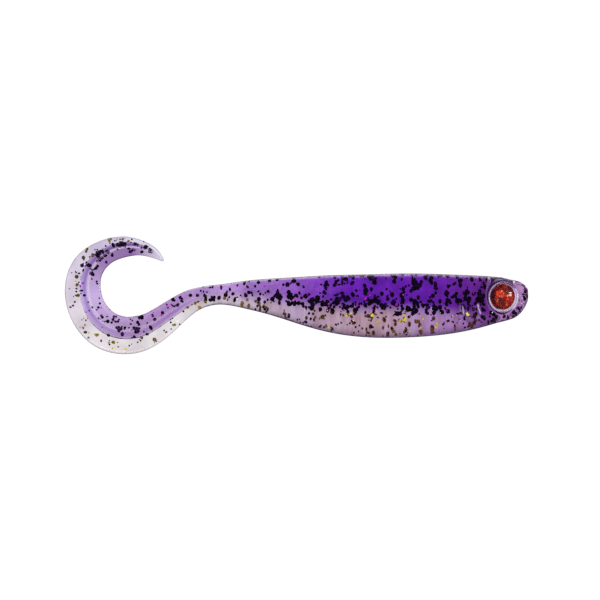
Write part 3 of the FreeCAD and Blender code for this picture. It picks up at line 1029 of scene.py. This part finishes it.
def glitter_pieces(colour, rows, material, chance):
    """Scatters one kind of glitter and makes one piece of it per span."""
    heaps = [FlakeHeap() for _ in JOINTS]
    for place, u, side, size, tone in scatter(rows, chance):
        centre, half, height = flake_spot(place, u, side)
        if math.hypot(centre.x - EYE_X, centre.z - EYE_Z) < EYE_CLEAR:
            continue
        if abs(side) == ON_SKIN:
            facing = skin_facing(place, u, side)
            centre = centre + facing * FLAKE_PROUD
            lean = SKIN_FLAKE_LEAN
            facing += Vector((chance.gauss(0, lean), 0, chance.gauss(0, lean)))
        else:
            lean = TAIL_FLAKE_LEAN if half < THIN_PLASTIC else BODY_FLAKE_LEAN
            facing = Vector((chance.gauss(0, lean), 1, chance.gauss(0, lean)))
            room = min(half * (1 - abs(side)), min(u, 1 - u) * height)
            size = min(size, SMALL_FLAKE + room * ROOM_SHARE)
        number = sum(place > cut for cut in CUTS[1:-1])
        heaps[number].add(centre, facing, size, chance.uniform(0, math.pi), FLAKE_THICK, tone)
    for number, heap in enumerate(heaps):
        made = heap.piece(colour + "_flakes_" + SPAN_NAMES[number], material)
        finish_span(made, number, [colour + "_glitter"])


# ---- eyes ----

LATHE_STEPS = 96
LENS_STEPS = 18
FOIL_STEPS = 12
HEAD_SHARP_ANGLE = math.radians(50)


def eye_axes(side):
    """An eye's seat in millimetres and its axes as a rotation; side is -1 or 1."""
    word = "left" if side > 0 else "right"
    low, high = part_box(word + "_eye_foil")
    facing = Vector((math.sin(EYE_YAW) * math.cos(EYE_PITCH),
                     side * math.cos(EYE_YAW) * math.cos(EYE_PITCH), math.sin(EYE_PITCH)))
    middle = ((low + high) / 2 - Vector((NOSE_X, 0, 0))) / UNIT
    return middle - facing * (FOIL_THICKNESS / 2), facing


def lathe(name, outline, side, materials):
    """A piece turned about an eye's axis from radii and heights, the first and last on the axis."""
    seat, facing = eye_axes(side)
    across = facing.orthogonal().normalized()
    up = facing.cross(across)
    points, radii = [], []
    inner = outline[1:-1]
    for radius, height in inner:
        for step in range(LATHE_STEPS):
            turn = 2 * math.pi * step / LATHE_STEPS
            out = across * math.cos(turn) + up * math.sin(turn)
            points.append(seat + out * radius + facing * height)
            radii.append(radius)
    faces = joined_rings(len(inner), LATHE_STEPS) + end_fans(len(inner), LATHE_STEPS)
    points += [seat + facing * outline[0][1], seat + facing * outline[-1][1]]
    radii += [0.0, 0.0]
    made = new_object(name, to_frame([tuple(p) for p in points]), faces, materials)
    mesh = made.data
    set_number(mesh, "radius", np.array(radii) / EYE_RADIUS)
    mesh.polygons.foreach_set("use_smooth", np.ones(len(mesh.polygons), bool))
    return made


def dome_outline():
    """The clear lens: flat underneath, a cap of a ball on top, with a soft rim."""
    ball = (EYE_RADIUS ** 2 + DOME_HEIGHT ** 2) / (2 * DOME_HEIGHT)
    base = FOIL_THICKNESS - LENS_SUNK
    edge = EYE_RADIUS - LENS_GAP
    outline = [(0.0, base), (EYE_RADIUS / 2, base), (edge - LENS_EDGE, base)]
    outline.append((edge, base + LENS_EDGE / 2))
    for step in range(LENS_STEPS + 1):
        radius = edge * math.cos(math.pi / 2 * step / LENS_STEPS)
        height = math.sqrt(ball ** 2 - radius ** 2) - (ball - DOME_HEIGHT)
        outline.append((radius, base + LENS_EDGE + height))
    outline[-1] = (0.0, outline[-1][1])
    return outline


def foil_outline():
    """The foil disc, very slightly dished."""
    outline = [(0.0, 0.0), (EYE_RADIUS - FOIL_CHAMFER, 0.0), (EYE_RADIUS, FOIL_EDGE)]
    for step in range(FOIL_STEPS + 1):
        radius = EYE_RADIUS * (1 - step / FOIL_STEPS)
        outline.append((radius, FOIL_THICKNESS - FOIL_DISH + FOIL_DISH * (radius / EYE_RADIUS) ** 2))
    outline[-1] = (0.0, outline[-1][1])
    return outline


RIM_OUTLINE = [
    (0.0, -1.6), (3.75, -1.6), (3.66, -0.5), (3.56, 0.1), (3.46, 0.34), (3.32, 0.44), (3.18, 0.46),
    (3.04, 0.40), (2.93, 0.30), (2.7, 0.25), (0.0, 0.25),
]
SOCKET_OUTLINE = [
    (0.0, 0.0), (SOCKET_RADIUS - 0.1, 0.0), (SOCKET_RADIUS - 0.02, 0.04), (SOCKET_RADIUS, 0.12),
    (SOCKET_RADIUS, 4.0), (0.0, 4.0),
]


def carve(target, tool, operation):
    """Cuts a tool out of a mesh, or joins it on, and removes the tool."""
    modifier = target.modifiers.new("carve", "BOOLEAN")
    modifier.operation = operation
    modifier.object = tool
    modifier.solver = "EXACT"
    bpy.context.view_layer.objects.active = target
    bpy.ops.object.modifier_apply(modifier=modifier.name)
    bpy.data.objects.remove(tool)


def set_eyes(head, plastic, join):
    """Raises a rim and sinks a socket on both sides of the head, then sets the eyes in them."""
    foil_look, backing_look, dome_look = foil_material(), backing_material(), dome_material()
    for side, word in ((-1, "right"), (1, "left")):
        carve(head, lathe("rim_tool", RIM_OUTLINE, side, [plastic, join]), "UNION")
        socket = lathe("socket_tool", SOCKET_OUTLINE, side, [plastic, join])
        for face in socket.data.polygons:
            face.material_index = 1
        carve(head, socket, "DIFFERENCE")
        foil = lathe("foil_" + word + "_eye", foil_outline(), side, [foil_look, backing_look])
        seat, facing = eye_axes(side)
        for face in foil.data.polygons:
            middle = (face.center - Vector((NOSE_X, 0, 0))) / UNIT
            face.material_index = int((middle - seat).dot(facing) < FOIL_BACK)
        dome = lathe("lens_" + word + "_eye", dome_outline(), side, [dome_look])
        for made, kind, slot in ((foil, "_eye_foil", "eye_foil"), (dome, "_eye_dome", "eye_lens")):
            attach(made, JOINTS[0]["parent"])
            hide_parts(word + kind)


def recolour_head(head):
    """Works the head span's colour values out again from its points, after the sockets are cut."""
    mesh = head.data
    points = mesh_points(mesh)
    count = len(points)
    tries = np.linspace(0, CUTS[1] + 1, 1200)
    rows = STRIP(tries)
    order = np.argsort(rows[:, 0])
    back, belly, share, place = (np.interp(points[:, 0], rows[order, 0], row[order])
                                 for row in (rows[:, 1], rows[:, 3], rows[:, 5], tries))
    u = np.clip((back - points[:, 2]) / np.maximum(back - belly, 1e-6), 0, 1)
    colour_skin(mesh, (place, u, share, back - belly, np.zeros(count)))
    pale = np.empty(count)
    mesh.attributes["pale"].data.foreach_get("value", pale)
    # A painted highlight ring round each eye, brighter towards one side.
    for side in (-1, 1):
        seat, facing = eye_axes(side)
        offset = points - np.array(seat)
        height = offset @ np.array(facing)
        away = np.sqrt(np.maximum((offset ** 2).sum(1) - height ** 2, 0))
        ring_share = np.exp(-((away - HIGHLIGHT_RING_RADIUS) / HIGHLIGHT_RING_WIDTH) ** 2)
        ring_share *= height > HIGHLIGHT_RING_START
        behind = (offset @ np.array(HIGHLIGHT_RING_BRIGHT_SIDE)) / np.maximum(away, 0.1)
        pale = np.maximum(pale, ring_share * (HIGHLIGHT_RING + HIGHLIGHT_RING_MORE * behind))
    set_number(mesh, "pale", pale)


# ---- stage ----

# The stage, in metres: the width in view and its middle, the lens in millimetres, and the floor.
FRAME_WIDTH = 0.1296
VIEW_X = -0.0491
VIEW_Z = -0.0011
CAMERA_LENS = 110
CAMERA_SENSOR = 36
FLOOR_RADIUS = 0.6
FLOOR_PLACE = (-0.05, 0, -0.05)

# What the studio shows: level and overhead, in wet surfaces, and through the plastic.
STUDIO_LEVEL = (1.0, 1.0, 1.0)
STUDIO_TOP = (0.50, 0.50, 0.53)
STUDIO_MIRRORED = (0.15, 0.10, 0.20)
STUDIO_THROUGH = (1.12, 1.12, 1.12)
STUDIO_STRENGTH = 1.05

# Lights: name, place, aim, size, power in watts, and whether wet surfaces mirror it.
LIGHTS = [
    ("key", (-0.20, -0.45, 0.50), (-0.05, 0, 0), 0.40, 1.5, False),
    ("fill", (0.38, -0.115, 0.03), (-0.01, 0, 0), 0.12, 0.45, True),
    ("rim", (-0.05, 0.50, 0.35), (-0.05, 0, 0), 0.30, 0.15, True),
]


def camera():
    """A level long-lens view square on the side."""
    data = bpy.data.cameras.new("camera")
    data.lens = CAMERA_LENS
    data.sensor_width = CAMERA_SENSOR
    data.clip_start = 0.01
    made = in_scene("camera", data)
    made.location = (VIEW_X, -FRAME_WIDTH * CAMERA_LENS / CAMERA_SENSOR, VIEW_Z)
    made.rotation_euler = (math.pi / 2, 0, 0)
    bpy.context.scene.camera = made


def area_light(name, place, aim, size, power, mirrored):
    """A soft square light aimed at a point; only some show in wet surfaces, none through them."""
    data = bpy.data.lights.new(name, "AREA")
    data.size = size
    data.energy = power
    made = in_scene(name, data)
    made.location = place
    made.rotation_euler = (Vector(aim) - Vector(place)).to_track_quat("-Z", "Y").to_euler()
    made.visible_transmission = False
    made.visible_glossy = mirrored


def world_light():
    """A white studio that lights the plastic from all round; wet surfaces mirror it only faintly."""
    world = bpy.data.worlds.new("studio")
    world.use_nodes = True
    tree = world.node_tree
    tree.nodes.clear()
    output = tree.nodes.new("ShaderNodeOutputWorld")
    background = tree.nodes.new("ShaderNodeBackground")
    where = tree.nodes.new("ShaderNodeTexCoord")
    split = tree.nodes.new("ShaderNodeSeparateXYZ")
    tree.links.new(where.outputs["Generated"], split.inputs[0])
    height = maths(tree, "ABSOLUTE", split.outputs["Z"], 0.0)
    around = ramp(tree, height, [(0.0, STUDIO_LEVEL), (0.34, STUDIO_LEVEL), (0.80, STUDIO_TOP)])
    rays = tree.nodes.new("ShaderNodeLightPath")
    not_through = maths(tree, "SUBTRACT", 1.0, rays.outputs["Is Transmission Ray"])
    mirrored = maths(tree, "MULTIPLY", rays.outputs["Is Glossy Ray"], not_through)
    seen = maths(tree, "ADD", rays.outputs["Is Camera Ray"], rays.outputs["Is Glossy Ray"], True)
    colour = mix_colour(tree, mirrored, around, STUDIO_MIRRORED)
    colour = mix_colour(tree, seen, STUDIO_THROUGH, colour)
    tree.links.new(colour, background.inputs["Color"])
    background.inputs["Strength"].default_value = STUDIO_STRENGTH
    tree.links.new(background.outputs[0], output.inputs["Surface"])
    bpy.context.scene.world = world


def floor():
    """A plain pale round floor below the bait."""
    material, tree, shader = new_material("floor")
    tone = ramp(tree, noise(tree, 0.01, 2.0), [(0.3, (0.93,) * 3), (0.7, (0.95,) * 3)])
    tree.links.new(tone, shader.inputs["Base Color"])
    shader.inputs["Roughness"].default_value = 0.8
    bpy.ops.mesh.primitive_circle_add(
        vertices=96, radius=FLOOR_RADIUS, fill_type="NGON", location=FLOOR_PLACE)
    made = bpy.context.object
    made.name = "floor"
    made.data.materials.append(material)
    made.visible_glossy = False


def main():
    """Makes the skin, the eyes, the glitter and the stage."""
    chance = random.Random(SEED)
    plastic, join = skin_material(), cut_material()
    for number in range(len(JOINTS)):
        piece = skin_piece(number, plastic, join)
        if number == 0:
            set_eyes(piece, plastic, join)
            recolour_head(piece)
            piece.data.set_sharp_from_angle(angle=HEAD_SHARP_ANGLE)
        finish_span(piece, number, ["back_shot", "belly_shot"])
    for colour, rows, tones, metallic, rough in GLITTER:
        film = flake_material(colour + "_flakes", tones, metallic, rough)
        glitter_pieces(colour, rows, film, chance)
    camera()
    world_light()
    floor()
    for light in LIGHTS:
        area_light(*light)
    bpy.context.scene.view_settings.view_transform = "Standard"


main()
